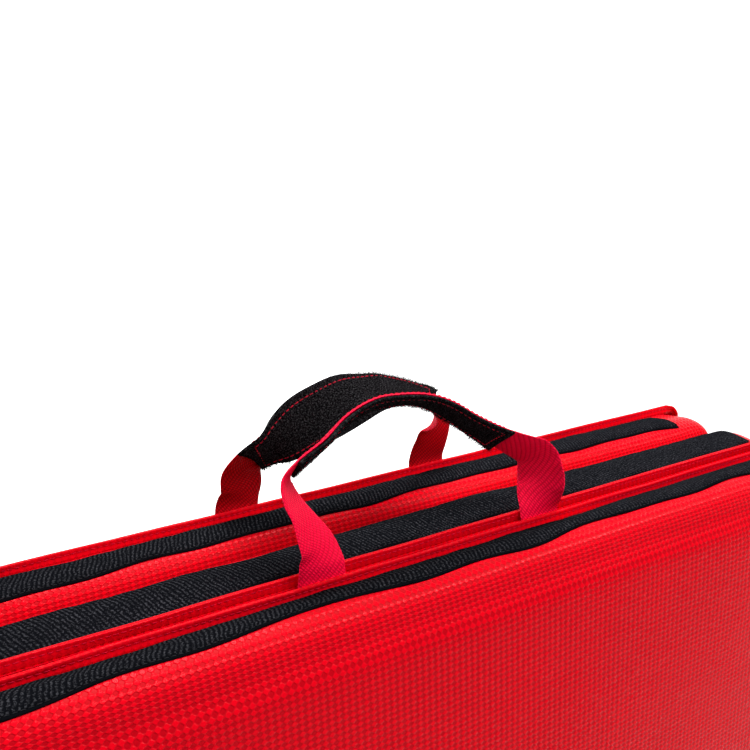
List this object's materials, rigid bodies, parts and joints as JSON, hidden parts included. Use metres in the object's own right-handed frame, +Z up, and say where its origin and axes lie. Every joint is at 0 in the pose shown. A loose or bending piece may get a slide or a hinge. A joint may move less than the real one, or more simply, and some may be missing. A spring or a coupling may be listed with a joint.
{
  "type": "folding padded mat",
  "caption": "Padded mat in hinged sections, folded shut and standing on its side, with webbing carry handles that close on each other.",
  "frame": {"origin": "on the floor, under the middle of the folded stack", "axes": "+X along the stack, +Y from the embossed front face to the rear side, +Z up through the handles"},
  "size_m": [0.6786, 0.16, 0.6972],
  "materials": {
    "embossed_cover": "embossed coated fabric, satin",
    "base_sheet": "embossed coated fabric, satin",
    "hem": "folded coated fabric, satin",
    "webbing": "woven webbing",
    "hook_tape": "hook tape",
    "loop_tape": "loop tape",
    "grip_pad": "napped loop tape",
    "thread": "sewing thread",
    "foam": "closed block of flexible foam"
  },
  "bodies": {
    "rear_section": {"rear_foam_core": "foam", "rear_top_cover": "embossed_cover", "rear_base_sheet": "base_sheet", "rear_seam_hem": "hem", "rear_seam_thread": "thread", "rear_upper_tape": "hook_tape", "rear_lower_tape": "loop_tape", "rear_hinge_leaf": "embossed_cover", "rear_handle_ends": "webbing", "rear_end_stitches": "thread"},
    "middle_section": {"middle_foam_core": "foam", "middle_top_cover": "embossed_cover", "middle_base_sheet": "base_sheet", "middle_seam_hem": "hem", "middle_seam_thread": "thread", "middle_upper_tape": "hook_tape", "middle_lower_tape": "loop_tape", "rear_hinge_strip": "embossed_cover", "front_hinge_strip": "embossed_cover"},
    "front_section": {"front_foam_core": "foam", "front_top_cover": "embossed_cover", "front_base_sheet": "base_sheet", "front_seam_hem": "hem", "front_seam_thread": "thread", "front_upper_tape": "hook_tape", "front_lower_tape": "loop_tape", "front_hinge_leaf": "embossed_cover", "front_handle_ends": "webbing", "front_end_stitches": "thread"},
    "rear_handle": {"rear_handle_webbing": "webbing", "rear_grip_pad": "grip_pad", "rear_pad_thread": "thread"},
    "front_handle": {"front_handle_webbing": "webbing", "front_grip_pad": "grip_pad", "front_pad_thread": "thread"}
  },
  "joints": [
    {"name": "rear_fold", "type": "hinge", "parent": "middle_section", "child": "rear_section", "pos_m": [0.3375, 0.02595, 0.3018], "axis": [0, 0, -1], "range_deg": [0, 180]},
    {"name": "front_fold", "type": "hinge", "parent": "middle_section", "child": "front_section", "pos_m": [-0.3375, -0.02805, 0.3018], "axis": [0, 0, -1], "range_deg": [0, 180]},
    {"name": "rear_handle_swing", "type": "hinge", "parent": "rear_section", "child": "rear_handle", "pos_m": [0, 0.07875, 0.6078], "axis": [-1, 0, 0], "range_deg": [-20, 160]},
    {"name": "front_handle_swing", "type": "hinge", "parent": "front_section", "child": "front_handle", "pos_m": [0, -0.02925, 0.6078], "axis": [1, 0, 0], "range_deg": [-6, 83]}
  ]
}
